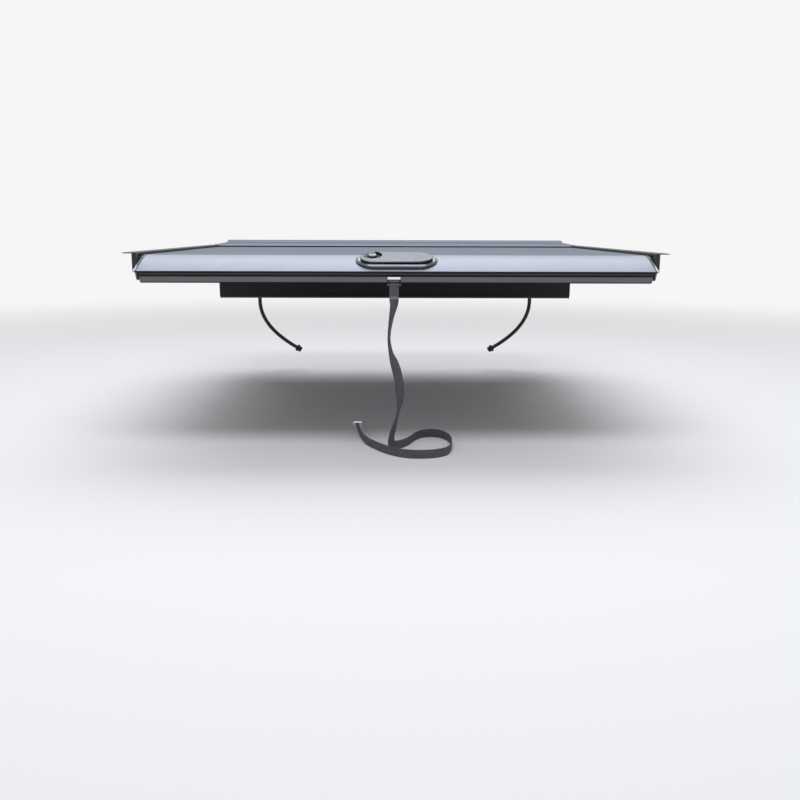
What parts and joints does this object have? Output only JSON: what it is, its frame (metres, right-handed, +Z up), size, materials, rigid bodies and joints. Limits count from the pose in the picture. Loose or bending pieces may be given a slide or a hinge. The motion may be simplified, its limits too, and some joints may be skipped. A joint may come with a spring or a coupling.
{
  "type": "retractable tonneau cover",
  "caption": "Retractable roller-shutter tonneau cover with a sloped tail panel, lift paddle lock, side rails, canister, pull strap and drain hoses.",
  "frame": {"origin": "middle of the cover at the rear edge of the tail panel, in the plane in which the rails sit on the bed rails", "axes": "+X to the right seen from behind, +Y forward to the cab, +Z up"},
  "size_m": [1.49, 1.5806, 0.5666],
  "materials": {
    "deck_black_coat": "satin black powder coat on extruded aluminium",
    "rail_black_coat": "fine matt black powder coat",
    "moulded_black": "moulded glass-filled nylon",
    "lock_black": "satin black moulding",
    "black_rubber": "extruded black rubber",
    "hose_rubber": "smooth black hose",
    "zinc_steel": "bright zinc plate",
    "plain_aluminium": "mill finish",
    "grey_anodised": "dark grey anodised",
    "grey_webbing": "woven polyester webbing",
    "leader_fabric": "coated woven band",
    "bright_chrome": "bright plate"
  },
  "bodies": {
    "frame": {"side_rail_left": "rail_black_coat", "side_rail_right": "rail_black_coat", "rail_plug_left": "moulded_black", "rail_plug_right": "moulded_black", "canister_tray": "rail_black_coat", "canister_lid": "deck_black_coat", "canister_end_left": "moulded_black", "canister_end_right": "moulded_black", "mouth_wiper": "black_rubber", "drum_axle": "zinc_steel", "recoil_spring": "zinc_steel", "clamp_rear_left": "rail_black_coat", "clamp_rear_right": "rail_black_coat", "clamp_front_left": "rail_black_coat", "clamp_front_right": "rail_black_coat", "clamp_bolt_rear_left": "zinc_steel", "clamp_bolt_rear_right": "zinc_steel", "clamp_bolt_front_left": "zinc_steel", "clamp_bolt_front_right": "zinc_steel", "drain_spigot_left": "moulded_black", "drain_spigot_right": "moulded_black", "drain_hose_left": "hose_rubber", "drain_hose_right": "hose_rubber", "drain_grommet_left": "black_rubber", "drain_grommet_right": "black_rubber"},
    "drum": {"drum_tube": "plain_aluminium", "drum_bush_left": "moulded_black", "drum_bush_right": "moulded_black"},
    "curtain": {"tail_panel": "deck_black_coat", "tail_cap_left": "moulded_black", "tail_cap_right": "moulded_black", "tail_bar": "grey_anodised", "tail_seal": "black_rubber", "lock_gasket": "black_rubber", "lock_base": "lock_black", "paddle_pin": "zinc_steel", "strap_anchor": "zinc_steel", "pull_strap": "grey_webbing", "snap_hook": "bright_chrome", "slat_01": "deck_black_coat", "slat_02": "deck_black_coat", "slat_03": "deck_black_coat", "slat_04": "deck_black_coat", "slat_05": "deck_black_coat", "slat_06": "deck_black_coat", "slat_07": "deck_black_coat", "slat_08": "deck_black_coat", "slat_09": "deck_black_coat", "slat_10": "deck_black_coat", "slat_11": "deck_black_coat", "slat_12": "deck_black_coat", "slat_13": "deck_black_coat", "slat_14": "deck_black_coat", "leader_band": "leader_fabric"},
    "paddle": {"lock_paddle": "lock_black"},
    "key": {"key_cylinder": "bright_chrome", "lock_cam": "zinc_steel"},
    "rod_left": {"latch_rod_left": "zinc_steel"},
    "rod_right": {"latch_rod_right": "zinc_steel"}
  },
  "joints": [
    {"name": "cover_slide", "type": "slide", "parent": "frame", "child": "curtain", "axis": [0, 1, 0], "range_m": [0, 1.02], "deforming": ["slat_01", "slat_02", "slat_03", "slat_04", "slat_05", "slat_06", "slat_07", "slat_08", "slat_09", "slat_10", "slat_11", "slat_12", "slat_13", "slat_14", "leader_band"]},
    {"name": "drum_spin", "type": "hinge", "parent": "frame", "child": "drum", "pos_m": [0, 1.37, -0.105], "axis": [-1, 0, 0], "range_deg": [0, 1030]},
    {"name": "paddle_lift", "type": "hinge", "parent": "curtain", "child": "paddle", "pos_m": [0, 0.08677, -0.00168], "axis": [-1, 0, 0], "range_deg": [0, 35]},
    {"name": "key_turn", "type": "hinge", "parent": "curtain", "child": "key", "pos_m": [-0.066, 0.07214, -0.01301], "axis": [0, -0.323, 0.9464], "range_deg": [0, 90.5]},
    {"name": "rod_left_slide", "type": "slide", "parent": "curtain", "child": "rod_left", "axis": [-1, 0, 0], "range_m": [0, 0.012]},
    {"name": "rod_right_slide", "type": "slide", "parent": "curtain", "child": "rod_right", "axis": [1, 0, 0], "range_m": [0, 0.0121]}
  ],
  "couplings": [
    {"joint": "drum_spin", "follows": "cover_slide", "rad_per_m": 17.5},
    {"joint": "key_turn", "follows": "rod_left_slide", "rad_per_m": 130.9},
    {"joint": "rod_right_slide", "follows": "rod_left_slide", "ratio": 1}
  ]
}
